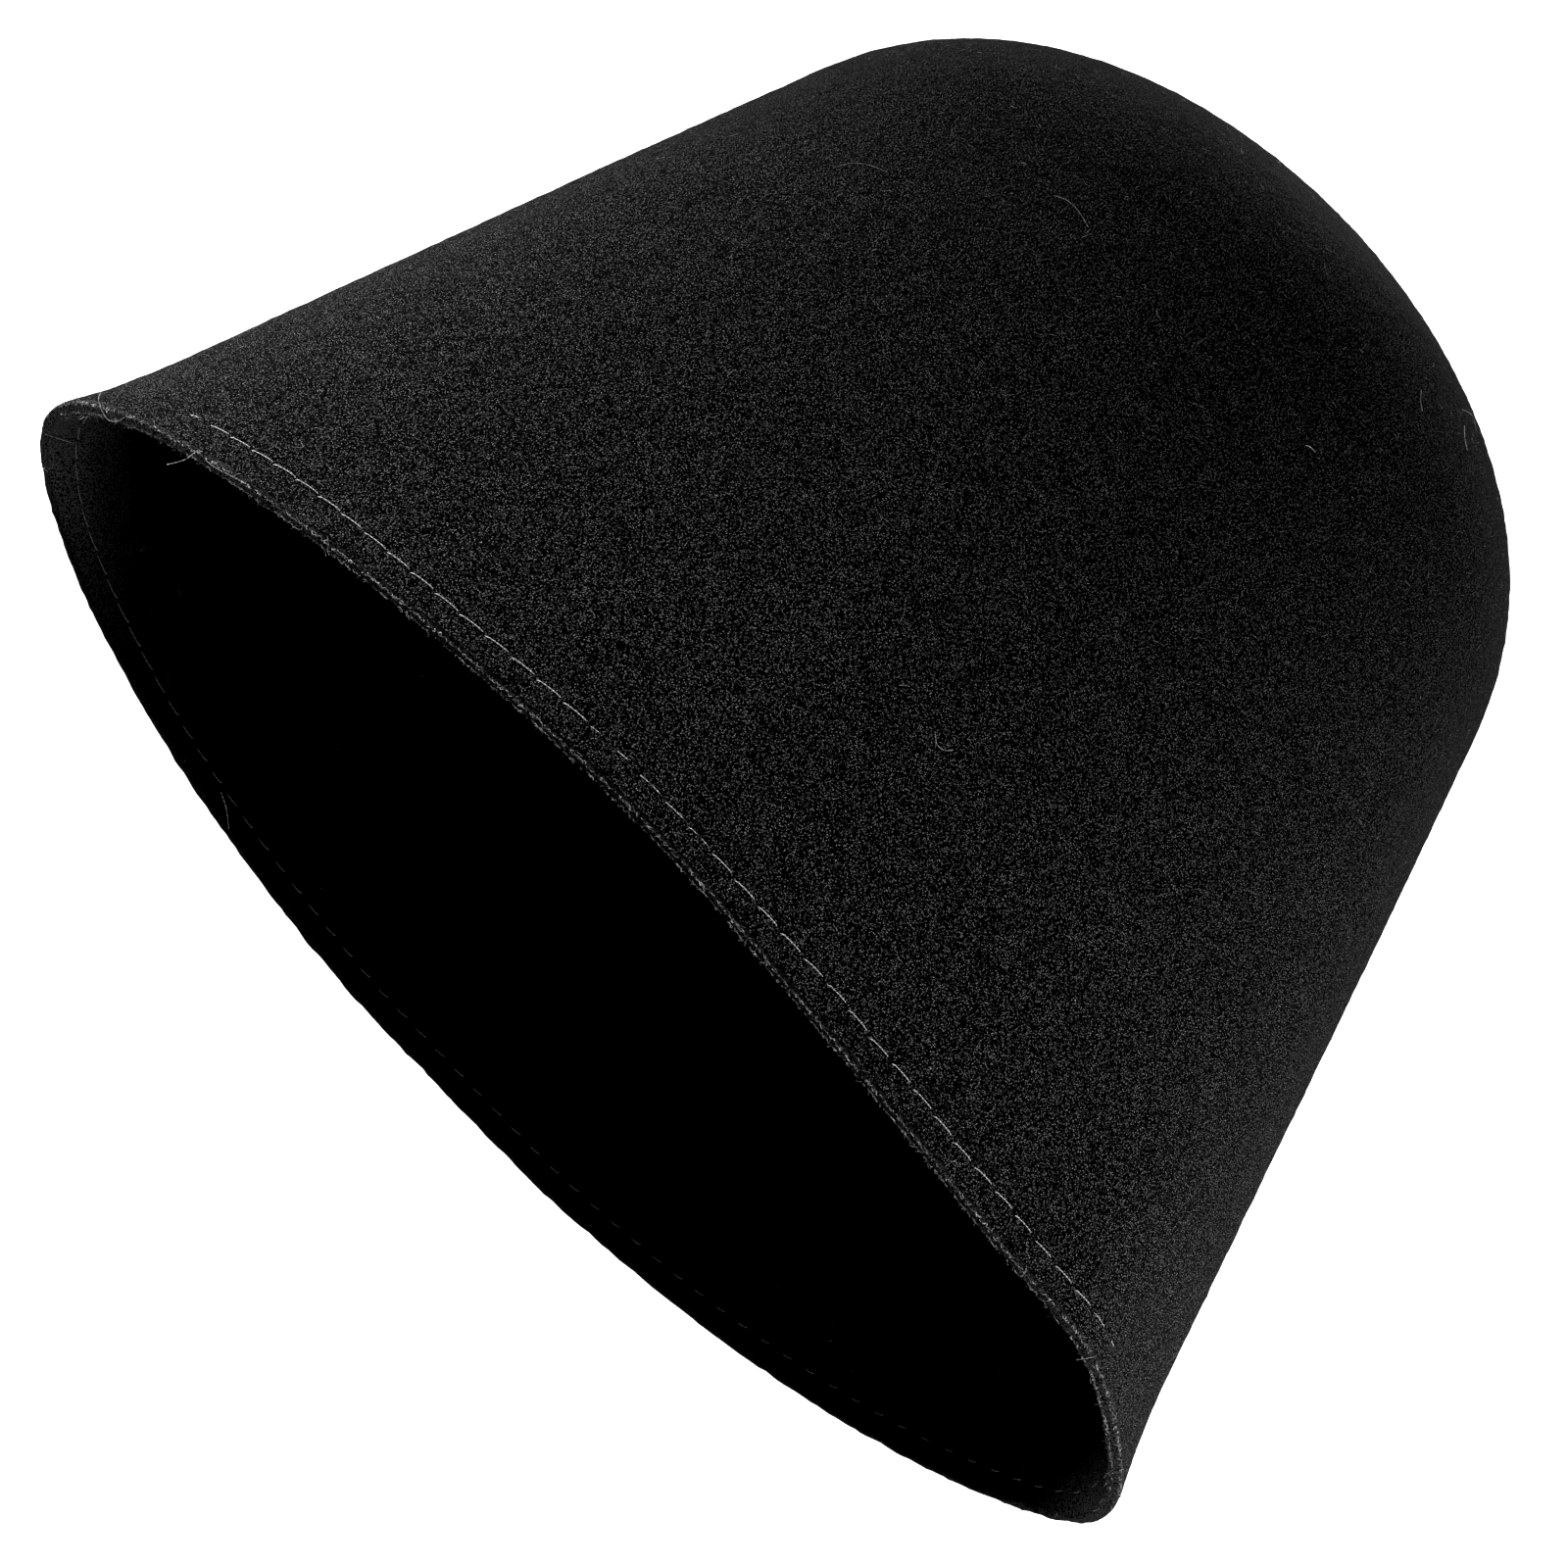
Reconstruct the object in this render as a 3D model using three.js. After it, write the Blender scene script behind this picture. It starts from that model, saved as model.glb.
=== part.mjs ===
// A moulded felt bell hat, lying on its back wall as it would on a bench. Millimetres, +Z up.
// The opening faces -Y, the crown points to +Y, the width runs along X, and the front wall is on top.
// The origin is on the surface that the hat lies on, under the middle of its box.
import * as THREE from 'three';
import { mergeVertices } from 'three/addons/utils/BufferGeometryUtils.js';

// Driving dimensions

// Levels are heights along the hat's own axis, from the side tips of the rim.
const HEIGHT = 240;
// Thickness of the felt, the same all over.
const WALL = 3;
// The sides taper straight from the rim up to the shoulder, where the crown starts to round over.
const RIM = { level: 0, halfWidth: 143, halfDepth: 80 };
const SHOULDER = { level: 177, halfWidth: 104.2, halfDepth: 74 };
// Roundness of the crown: 2 is elliptic, more is flatter on top with fuller shoulders.
const CROWN = { widthPower: 2.54, depthPower: 2.32 };
// The side tips kick out a little in the last stretch above the cut edge.
const FLARE = { out: 2.4, height: 25 };
// Outline of a level section: 2 is an ellipse, less draws the side tips out to a soft crease.
const SECTION = { rimPower: 1.83, crownPower: 2, settledAt: 120 };
// The cut edge hangs lower at the middle of the front and back than at its side tips,
// and a little lower at the right tip than at the left.
const EDGE_LINE = { drop: 6.4, power: 3, skew: 1.5, fadesAt: 192 };
// Soft waves of the front wall at the rim. The place and the width are fractions of the half width,
// to the right of the middle. The depth goes inwards, or outwards where it is negative.
const RIM_WAVES = [
  { name: 'dent right of the middle', place: 0.27, width: 0.25, depth: 3.2 },
  { name: 'bulge before the right tip', place: 0.77, width: 0.12, depth: -6.7 },
];
const WAVE_FADES_AT = 84;
// The back wall sinks flat by this much where it rests.
const RESTING_SAG = 2;

// Fineness of the mesh
const AROUND = 60;
const FLARE_ROWS = 3;
const TAPER_ROWS = 9;
const CROWN_ROWS = 14;
// Steps over which the slope of the face is measured, in millimetres of level and radians of turn.
const SLOPE_STEP = { level: 0.5, turn: 0.01 };

const FELT_COLOUR = 0x0b0b0c;
const FELT_ROUGHNESS = 0.97;

// A signed power, for the superelliptic sections.
function bend(value, power) {
  return Math.sign(value) * Math.abs(value) ** power;
}

// One at the rim, falling straight to nothing at the given level.
function fade(level, end) {
  return THREE.MathUtils.clamp(1 - level / end, 0, 1);
}

// Share of the tapered size that the rounding crown leaves at a level.
function crownShare(level, power) {
  const rise = THREE.MathUtils.clamp((level - SHOULDER.level) / (HEIGHT - SHOULDER.level), 0, 1);
  return (1 - rise ** power) ** (1 / power);
}

// Half width and half depth of the section at a level.
function sectionSize(level) {
  const along = (level - RIM.level) / (SHOULDER.level - RIM.level);
  const taperedWidth = THREE.MathUtils.lerp(RIM.halfWidth, SHOULDER.halfWidth, along);
  const taperedDepth = THREE.MathUtils.lerp(RIM.halfDepth, SHOULDER.halfDepth, along);
  const flare = FLARE.out * fade(level, FLARE.height) ** 2;
  return {
    halfWidth: taperedWidth * crownShare(level, CROWN.widthPower) + flare,
    halfDepth: taperedDepth * crownShare(level, CROWN.depthPower),
  };
}

// How far the front wall is pushed in at a place across the width.
function waveDepth(across, level) {
  let depth = 0;
  for (const wave of RIM_WAVES) {
    depth += wave.depth * Math.exp(-(((across - wave.place) / wave.width) ** 2));
  }
  return depth * fade(level, WAVE_FADES_AT) ** 2;
}

// The back wall's lean against the hat's axis, so that it lies level when the hat is laid down.
const EDGE_RUN = SHOULDER.level + EDGE_LINE.drop * (SHOULDER.level / EDGE_LINE.fadesAt);
const LEAN = Math.atan((RIM.halfDepth - SHOULDER.halfDepth) / EDGE_RUN);
const AXIS_HEIGHT = RIM.halfDepth * Math.cos(LEAN) - EDGE_LINE.drop * Math.sin(LEAN) - RESTING_SAG;

// A point of the outer face, laid down. The turn runs round the section from the right tip,
// by way of the back wall, and the level runs up the hat's own axis.
function outerPoint(level, turn) {
  const size = sectionSize(level);
  const settled = 1 - fade(level, SECTION.settledAt);
  const power = 2 / THREE.MathUtils.lerp(SECTION.rimPower, SECTION.crownPower, settled);
  const across = bend(Math.cos(turn), power);
  const x = size.halfWidth * across;
  let back = size.halfDepth * bend(Math.sin(turn), power);
  if (back < 0) {
    back += waveDepth(across, level);
  }
  const edgeDrop = EDGE_LINE.drop * (1 - Math.abs(Math.cos(turn)) ** EDGE_LINE.power);
  const skewDrop = EDGE_LINE.skew * (x / RIM.halfWidth);
  const up = level - (edgeDrop + skewDrop) * fade(level, EDGE_LINE.fadesAt);
  const y = up * Math.cos(LEAN) - back * Math.sin(LEAN);
  const z = AXIS_HEIGHT - back * Math.cos(LEAN) - up * Math.sin(LEAN);
  return new THREE.Vector3(x, y, Math.max(z, 0));
}

// Levels of the mesh rows, from the cut edge to just below the top of the crown.
function rowLevels() {
  const levels = [];
  for (let row = 0; row < FLARE_ROWS; row += 1) {
    levels.push((FLARE.height * row) / FLARE_ROWS);
  }
  for (let row = 0; row < TAPER_ROWS; row += 1) {
    levels.push(THREE.MathUtils.lerp(FLARE.height, SHOULDER.level, row / TAPER_ROWS));
  }
  for (let row = 0; row < CROWN_ROWS; row += 1) {
    const swing = (Math.PI / 2) * (row / CROWN_ROWS);
    const rise = Math.sin(swing) ** (2 / CROWN.depthPower);
    levels.push(THREE.MathUtils.lerp(SHOULDER.level, HEIGHT, rise));
  }
  return levels;
}

// The outer face as rows of points with the unit normals that point out of the felt.
function outerRows() {
  return rowLevels().map((level) => {
    const row = [];
    for (let place = 0; place < AROUND; place += 1) {
      const turn = (2 * Math.PI * place) / AROUND;
      const point = outerPoint(level, turn);
      const lowLevel = Math.max(level - SLOPE_STEP.level, RIM.level);
      const upward = outerPoint(level + SLOPE_STEP.level, turn).sub(outerPoint(lowLevel, turn));
      const pastTurn = outerPoint(level, turn + SLOPE_STEP.turn);
      const around = pastTurn.sub(outerPoint(level, turn - SLOPE_STEP.turn));
      const normal = upward.cross(around).normalize().negate();
      row.push({ point, normal });
    }
    return row;
  });
}

// Adds a point to the flat list of coordinates and gives back its index.
function addPoint(positions, point) {
  const index = positions.length / 3;
  positions.push(point.x, point.y, point.z);
  return index;
}

// The closed shell: outer face, inner face one wall thickness inside it, and the cut edge between.
function feltGeometry() {
  const rows = outerRows();
  const top = outerPoint(HEIGHT, 0);
  const axis = new THREE.Vector3(0, Math.cos(LEAN), -Math.sin(LEAN));
  const innerTop = top.clone().addScaledVector(axis, -WALL);
  const positions = [];
  const outer = rows.map((row) => row.map(({ point }) => addPoint(positions, point)));
  const inner = rows.map((row) =>
    row.map(({ point, normal }) => {
      const inside = point.clone().addScaledVector(normal, -WALL);
      return addPoint(positions, inside);
    }),
  );
  const outerPole = addPoint(positions, top);
  const innerPole = addPoint(positions, innerTop);

  const triangles = [];
  const last = rows.length - 1;
  for (let place = 0; place < AROUND; place += 1) {
    const next = (place + 1) % AROUND;
    for (let row = 0; row < last; row += 1) {
      const above = row + 1;
      triangles.push(outer[row][place], outer[above][next], outer[above][place]);
      triangles.push(outer[row][place], outer[row][next], outer[above][next]);
      triangles.push(inner[row][place], inner[above][place], inner[above][next]);
      triangles.push(inner[row][place], inner[above][next], inner[row][next]);
    }
    triangles.push(outer[last][place], outer[last][next], outerPole);
    triangles.push(inner[last][place], innerPole, inner[last][next]);
    triangles.push(outer[0][place], inner[0][next], outer[0][next]);
    triangles.push(outer[0][place], inner[0][place], inner[0][next]);
  }

  const geometry = new THREE.BufferGeometry();
  geometry.setAttribute('position', new THREE.Float32BufferAttribute(positions, 3));
  geometry.setIndex(triangles);
  const closed = mergeVertices(geometry);
  closed.computeBoundingBox();
  const middle = closed.boundingBox.getCenter(new THREE.Vector3());
  closed.translate(-middle.x, -middle.y, -closed.boundingBox.min.z);
  closed.computeVertexNormals();
  return closed;
}

const feltMaterial = new THREE.MeshStandardMaterial({
  color: FELT_COLOUR,
  roughness: FELT_ROUGHNESS,
  metalness: 0,
});

const feltBody = new THREE.Mesh(feltGeometry(), feltMaterial);
feltBody.name = 'felt_body';

const saunaHat = new THREE.Group();
saunaHat.add(feltBody);

export default saunaHat;
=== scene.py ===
"""Looks of a moulded black felt bell hat that lies on its back wall.

All lengths that Blender gets are in metres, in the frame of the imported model: X runs across the hat, Y from
the open rim to the crown, Z up from the surface that the hat lies on. The shape follows the same rule as the
part's source, in millimetres, on a finer mesh with a rounded raw edge, a pebbled face and a stitched line.
"""

import logging
import math
from dataclasses import dataclass, field
from enum import Enum

import bpy
import numpy as np
from mathutils import Matrix, Vector, noise


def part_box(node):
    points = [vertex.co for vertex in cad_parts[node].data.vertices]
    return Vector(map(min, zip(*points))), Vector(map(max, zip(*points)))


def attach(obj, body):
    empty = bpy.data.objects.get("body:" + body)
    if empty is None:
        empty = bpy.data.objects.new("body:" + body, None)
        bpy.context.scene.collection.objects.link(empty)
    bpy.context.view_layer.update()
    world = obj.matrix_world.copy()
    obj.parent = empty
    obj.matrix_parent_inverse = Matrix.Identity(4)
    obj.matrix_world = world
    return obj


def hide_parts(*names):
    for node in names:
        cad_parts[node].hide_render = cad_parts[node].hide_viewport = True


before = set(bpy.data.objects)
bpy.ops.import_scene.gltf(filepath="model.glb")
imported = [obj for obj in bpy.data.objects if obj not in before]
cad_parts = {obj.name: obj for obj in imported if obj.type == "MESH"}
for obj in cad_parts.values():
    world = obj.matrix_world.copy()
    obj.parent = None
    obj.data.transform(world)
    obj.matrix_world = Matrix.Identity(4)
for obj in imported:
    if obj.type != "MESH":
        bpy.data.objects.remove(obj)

LOG = logging.getLogger("felt_hat")
MILLI = 0.001
FULL_TURN = 2.0 * math.pi
NODE = "felt_body"
BODY = "root"
WHITE = (1.0, 1.0, 1.0)

Colour = tuple[float, float, float]
Place = tuple[float, float, float]
Socket = bpy.types.NodeSocket
Node = bpy.types.Node
Tree = bpy.types.NodeTree
Material = bpy.types.Material
Mesh = bpy.types.Mesh
Thing = bpy.types.Object
Array = np.ndarray
Line = tuple[Array, Array, Array]


def grey(value: float) -> Colour:
    """A grey with the same share of red, green and blue."""
    return (value, value, value)


def hump(away: Array) -> Array:
    """One where the distance is nothing, falling softly to both sides."""
    return np.exp(-(away**2))


def short_way(turn: Array, middle: float = 0.0) -> Array:
    """Turns from a middle, the short way round, in radians."""
    return np.angle(np.exp(1j * (turn - middle)))


class WallSide(Enum):
    """The two faces of the felt wall."""

    OUTSIDE = "outside"
    INSIDE = "inside"


class SocketKind(Enum):
    """Kinds of socket that the node groups here use."""

    GEOMETRY = "NodeSocketGeometry"
    FLOAT = "NodeSocketFloat"
    WHOLE = "NodeSocketInt"
    VECTOR = "NodeSocketVector"
    COLOUR = "NodeSocketColor"
    WORD = "NodeSocketString"
    MATERIAL = "NodeSocketMaterial"


class TreeKind(Enum):
    """Kinds of node group."""

    GEOMETRY = "GeometryNodeTree"
    SHADER = "ShaderNodeTree"


class Slot(Enum):
    """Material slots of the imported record."""

    FELT = "felt"
    THREAD = "thread"
    FIBRE = "fibre"


class Graph:
    """Adds nodes to a tree and joins them. A value is a number, a colour or a socket of another node."""

    def __init__(self, tree: Tree) -> None:
        """Keeps the tree that the nodes go into."""
        self.tree = tree

    def add(self, kind: str, inputs: dict | None = None, **settings: object) -> Node:
        """Adds one node.

        Args:
            kind: Blender's name of the node type.
            inputs: Values by the input's name or index.
            settings: Properties of the node, such as its operation.

        Returns:
            The new node.
        """
        node = self.tree.nodes.new(kind)
        for name, value in settings.items():
            setattr(node, name, value)
        self.feed(node, inputs or {})
        return node

    def take(self, kind: str, output: str, inputs: dict | None = None, **settings: object) -> Socket:
        """Adds one node and gives back the output with that name."""
        return self.pick(self.add(kind, inputs, **settings).outputs, output)

    def feed(self, node: Node, inputs: dict) -> None:
        """Gives a node its values, by the input's name or index."""
        for key, value in inputs.items():
            socket = self.pick(node.inputs, key)
            if isinstance(value, Socket):
                self.tree.links.new(value, socket)
            elif socket.type == "RGBA":
                socket.default_value = (*value, 1.0)
            else:
                socket.default_value = value

    @staticmethod
    def pick(sockets: bpy.types.bpy_prop_collection, key: str | int) -> Socket:
        """Finds a socket in use by its index or its name."""
        if isinstance(key, int):
            return sockets[key]
        return next(socket for socket in sockets if socket.enabled and socket.name == key)

    def math(self, operation: str, *values: object) -> Socket:
        """Adds a sum on numbers and gives back its result."""
        return self.add("ShaderNodeMath", dict(enumerate(values)), operation=operation).outputs[0]

    def vector(self, operation: str, first: object, second: object) -> Socket:
        """Adds a sum on vectors and gives back its result. SCALE takes a number second."""
        key = "Scale" if operation == "SCALE" else 1
        return self.take("ShaderNodeVectorMath", "Vector", {0: first, key: second}, operation=operation)

    def combine(self, **parts: object) -> Socket:
        """Adds a vector made of X, Y and Z."""
        return self.take("ShaderNodeCombineXYZ", "Vector", parts)

    def mix(self, share: object, first: object, second: object) -> Socket:
        """Adds a blend of two colours."""
        inputs = {"Factor": share, "A": first, "B": second}
        return self.take("ShaderNodeMix", "Result", inputs, data_type="RGBA")

    def waves(self, output: str, place: Socket, scale: object, detail: float) -> Socket:
        """Adds smooth noise, as Fac or Color, with so many waves to a metre."""
        return self.take("ShaderNodeTexNoise", output, {"Vector": place, "Scale": scale, "Detail": detail})

    def bent(self, place: Socket, scale: object, detail: float, reach: Socket) -> Socket:
        """Moves places by smooth noise as far as the reach, in metres."""
        centred = self.vector("SUBTRACT", self.waves("Color", place, scale, detail), grey(0.5))
        return self.vector("ADD", place, self.vector("SCALE", centred, reach))

    def stored(self, name: str, output: str = "Fac") -> Socket:
        """Adds what a material reads from the mesh, as Fac or Vector."""
        return self.take("ShaderNodeAttribute", output, attribute_name=name, attribute_type="GEOMETRY")


class GeometryGraph(Graph):
    """Adds nodes to a geometry tree."""

    def named(self, name: str | Socket, kind: str = "FLOAT") -> Socket:
        """Adds a value that each vertex carries under a name."""
        return self.take("GeometryNodeInputNamedAttribute", "Attribute", {"Name": name}, data_type=kind)

    def here(self) -> Socket:
        """Adds the place of each vertex."""
        return self.take("GeometryNodeInputPosition", "Position")

    def curve(self, mesh: Socket) -> Socket:
        """Adds the curves that run along a mesh's edges."""
        return self.take("GeometryNodeMeshToCurve", "Curve", {"Mesh": mesh})

    def line(self, start: object, end: object) -> Socket:
        """Adds a straight line."""
        return self.take("GeometryNodeCurvePrimitiveLine", "Curve", {"Start": start, "End": end})

    def steps(self, curve: Socket, mode: str, value: object) -> Socket:
        """Divides a curve evenly, by COUNT or by LENGTH."""
        inputs = {"Curve": curve, mode.capitalize(): value}
        return self.take("GeometryNodeResampleCurve", "Curve", inputs, mode=mode)

    def moved(self, geometry: Socket, place: Socket) -> Socket:
        """Moves vertices to new places."""
        return self.take("GeometryNodeSetPosition", "Geometry", {"Geometry": geometry, "Position": place})

    def tube(self, curve: Socket, sides: int, radius: Socket) -> Socket:
        """Adds a closed round tube along a curve."""
        ring = self.take("GeometryNodeCurvePrimitiveCircle", "Curve", {"Resolution": sides, "Radius": radius})
        inputs = {"Curve": curve, "Profile Curve": ring, "Fill Caps": True}
        return self.take("GeometryNodeCurveToMesh", "Mesh", inputs)

    def random(self, low: object, high: object, seed: Socket) -> Socket:
        """Adds a seeded random number for each point."""
        inputs = {"Min": low, "Max": high, "Seed": seed}
        return self.take("FunctionNodeRandomValue", "Value", inputs, data_type="FLOAT")

    def either_way(self, limit: Socket, seed: Socket) -> Socket:
        """Adds a seeded random number between a limit and its opposite."""
        return self.random(self.math("MULTIPLY", limit, -1.0), limit, seed)

    def facing(self, outward: Socket, along: Socket) -> Socket:
        """Adds the rotation whose Z points outward and whose X runs along."""
        inputs = {"Primary Axis": outward, "Secondary Axis": along}
        axes = {"primary_axis": "Z", "secondary_axis": "X"}
        return self.take("FunctionNodeAxesToRotation", "Rotation", inputs, **axes)

    def spun(self, rotation: Socket, axis: Place, angle: Socket) -> Socket:
        """Turns a rotation about one of its own axes."""
        turn = self.take("FunctionNodeAxisAngleToRotation", "Rotation", {"Axis": axis, "Angle": angle})
        inputs = {"Rotation": rotation, "Rotate By": turn}
        return self.take("FunctionNodeRotateRotation", "Rotation", inputs, rotation_space="LOCAL")

    def laid(self, points: Socket, copy: Socket, rotation: Socket, stretch: Socket, height: Socket) -> Socket:
        """Lays a copy on each point.

        Args:
            points: The points.
            copy: What is laid there.
            rotation: How each copy is turned.
            stretch: How long each copy is along its own X.
            height: How far each copy is raised along its own Z.

        Returns:
            The instances.
        """
        size = self.combine(X=stretch, Y=1.0, Z=1.0)
        inputs = {"Points": points, "Instance": copy, "Rotation": rotation, "Scale": size}
        put = self.take("GeometryNodeInstanceOnPoints", "Instances", inputs)
        inputs = {"Instances": put, "Translation": self.combine(Z=height), "Local Space": True}
        return self.take("GeometryNodeTranslateInstances", "Instances", inputs)

    def keep(self, geometry: Socket, name: str, value: Socket, kind: str, domain: str) -> Socket:
        """Stores a value under a name on the points or instances of a geometry."""
        inputs = {"Geometry": geometry, "Name": name, "Value": value}
        settings = {"data_type": kind, "domain": domain}
        return self.take("GeometryNodeStoreNamedAttribute", "Geometry", inputs, **settings)

    def solid(self, instances: Socket) -> Socket:
        """Turns instances into a mesh."""
        return self.take("GeometryNodeRealizeInstances", "Geometry", {"Geometry": instances})

    def finish(self, geometry: Socket, given: dict[str, Socket], made: Node) -> Tree:
        """Paints the geometry, hands it out of the tree and gives back the tree."""
        inputs = {"Geometry": geometry, "Material": given["Material"]}
        self.feed(made, {"Geometry": self.take("GeometryNodeSetMaterial", "Geometry", inputs)})
        return self.tree


@dataclass(frozen=True)
class GroupPlan:
    """The name of a node group, and the names of its sockets by their kind."""

    name: str
    kind: TreeKind
    inputs: dict[SocketKind, tuple[str, ...]]
    outputs: dict[SocketKind, tuple[str, ...]] = field(
        default_factory=lambda: {SocketKind.GEOMETRY: ("Geometry",)}
    )

    def start(self) -> tuple[Graph, dict[str, Socket], Node]:
        """Makes the empty group.

        Returns:
            The graph to add nodes to, the group's inputs by name, and the node with its outputs.
        """
        tree = bpy.data.node_groups.new(self.name, self.kind.value)
        for in_out, kinds in (("INPUT", self.inputs), ("OUTPUT", self.outputs)):
            for kind, names in kinds.items():
                for name in names:
                    tree.interface.new_socket(name, in_out=in_out, socket_type=kind.value)
        graph = GeometryGraph(tree) if self.kind is TreeKind.GEOMETRY else Graph(tree)
        given = {socket.name: socket for socket in graph.add("NodeGroupInput").outputs}
        return graph, given, graph.add("NodeGroupOutput")


@dataclass(frozen=True)
class RimWave:
    """A soft wave of the front wall at the rim.

    The place and the width are shares of the half width, to the right of the middle. The depth goes inwards.
    """

    place: float
    width: float
    depth: float


@dataclass(frozen=True)
class BellShape:
    """The rule that the hat's outer face follows, in millimetres, as the part's source gives it."""

    height: float = 240.0
    wall: float = 3.0
    rim_half_width: float = 143.0
    rim_half_depth: float = 80.0
    shoulder_level: float = 177.0
    shoulder_half_width: float = 104.2
    shoulder_half_depth: float = 74.0
    crown_width_power: float = 2.54
    crown_depth_power: float = 2.32
    flare_out: float = 2.4
    flare_height: float = 25.0
    rim_power: float = 1.83
    crown_power: float = 2.0
    settled_at: float = 120.0
    edge_drop: float = 6.4
    edge_power: float = 3.0
    edge_skew: float = 1.5
    edge_fades_at: float = 192.0
    waves: tuple[RimWave, ...] = (RimWave(0.27, 0.25, 3.2), RimWave(0.77, 0.12, -6.7))
    wave_fades_at: float = 84.0
    resting_sag: float = 2.0
    crease_softness: float = 0.4
    slope_level: float = 0.5
    slope_turn: float = 0.01

    @property
    def lean(self) -> float:
        """Lean of the back wall against the hat's axis, in radians."""
        run = self.shoulder_level + self.edge_drop * self.shoulder_level / self.edge_fades_at
        return math.atan((self.rim_half_depth - self.shoulder_half_depth) / run)

    @property
    def axis(self) -> Array:
        """Direction of the hat's axis, from the rim to the crown."""
        return np.array([0.0, math.cos(self.lean), -math.sin(self.lean)])

    @property
    def axis_height(self) -> float:
        """Height of the axis over the resting surface, at the rim."""
        hang = self.rim_half_depth * math.cos(self.lean) - self.edge_drop * math.sin(self.lean)
        return hang - self.resting_sag

    @staticmethod
    def fade(level: Array, end: float) -> Array:
        """One at the rim, falling straight to nothing at the given level."""
        return np.clip(1.0 - level / end, 0.0, 1.0)

    def crown_share(self, level: Array, power: float) -> Array:
        """Share of the tapered size that the rounding crown leaves at a level."""
        rise = np.clip((level - self.shoulder_level) / (self.height - self.shoulder_level), 0.0, 1.0)
        return (1.0 - rise**power) ** (1.0 / power)

    def outer(self, level: Array, turn: Array) -> Array:
        """Points of the outer face, laid down.

        Args:
            level: Heights along the hat's axis, from the side tips of the rim.
            turn: Turns round the section from the right tip, by way of the back wall, in radians.

        Returns:
            The points, with X, Y and Z last.
        """
        level, turn = np.broadcast_arrays(np.asarray(level, float), np.asarray(turn, float))
        along = level / self.shoulder_level
        wide = self.rim_half_width + (self.shoulder_half_width - self.rim_half_width) * along
        deep = self.rim_half_depth + (self.shoulder_half_depth - self.rim_half_depth) * along
        half_width = wide * self.crown_share(level, self.crown_width_power)
        half_width = half_width + self.flare_out * self.fade(level, self.flare_height) ** 2
        half_depth = deep * self.crown_share(level, self.crown_depth_power)
        settled = 1.0 - self.fade(level, self.settled_at)
        power = 2.0 / (self.rim_power + (self.crown_power - self.rim_power) * settled)
        cosine, sine = np.cos(turn), np.sin(turn)
        across = np.sign(cosine) * np.abs(cosine) ** power
        x = half_width * across
        back = half_depth * np.sign(sine) * np.abs(sine) ** power
        wave = sum(w.depth * hump((across - w.place) / w.width) for w in self.waves)
        back = back + np.where(back < 0.0, wave * self.fade(level, self.wave_fades_at) ** 2, 0.0)
        drop = self.edge_drop * (1.0 - np.abs(cosine) ** self.edge_power)
        drop = drop + self.edge_skew * x / self.rim_half_width
        up = level - drop * self.fade(level, self.edge_fades_at)
        lean_cos, lean_sin = math.cos(self.lean), math.sin(self.lean)
        y = up * lean_cos - back * lean_sin
        z = self.axis_height - back * lean_cos - up * lean_sin
        z = (z + np.sqrt(z**2 + self.crease_softness**2)) / 2.0
        return np.stack([x, y, z], -1)

    def outward(self, level: Array, turn: Array) -> Array:
        """Unit normals of the outer face, pointing out of the felt."""
        low = np.maximum(np.asarray(level, float) - self.slope_level, 0.0)
        high = np.minimum(np.asarray(level, float) + self.slope_level, self.height)
        upward = self.outer(high, turn) - self.outer(low, turn)
        around = self.outer(level, turn + self.slope_turn) - self.outer(level, turn - self.slope_turn)
        normal = np.cross(around, upward)
        return normal / np.linalg.norm(normal, axis=-1, keepdims=True)


@dataclass(frozen=True)
class StitchLine:
    """Where the machine stitches run round the rim, and the groove that they pull into the felt.

    A place is a turn round the section, in radians, and the line's level there, in millimetres.
    """

    places: tuple[tuple[float, float], ...] = (
        *((-3.14, 7.2), (-2.75, 8.0), (-2.45, 7.6), (-2.32, 7.65), (-2.22, 7.2), (-2.12, 6.6), (-2.0, 6.1)),
        *((-1.91, 6.3), (-1.73, 6.6), (-1.64, 6.1), (-1.46, 5.8), (-1.38, 6.05), (-1.29, 6.6), (-1.2, 6.2)),
        *((-1.15, 6.4), (-1.03, 5.95), (-0.91, 6.6), (-0.77, 6.1), (-0.57, 6.9), (-0.35, 7.4), (-0.2, 7.8)),
        *((0.0, 6.2), (0.1, 5.2), (0.25, 4.9), (0.4, 5.0), (1.0, 4.9), (2.3, 5.0), (2.8, 5.5)),
    )
    groove_depth: float = 0.14
    groove_width: float = 0.55

    def level_at(self, turn: Array) -> Array:
        """Levels of the line, in millimetres, at turns round the section."""
        return np.interp(turn, *zip(*self.places), period=FULL_TURN)

    def groove(self, level: Array, turn: Array) -> Array:
        """How deep the stitches pull the felt in at a place, in millimetres."""
        return self.groove_depth * hump((level - self.level_at(turn)) / self.groove_width)


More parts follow.
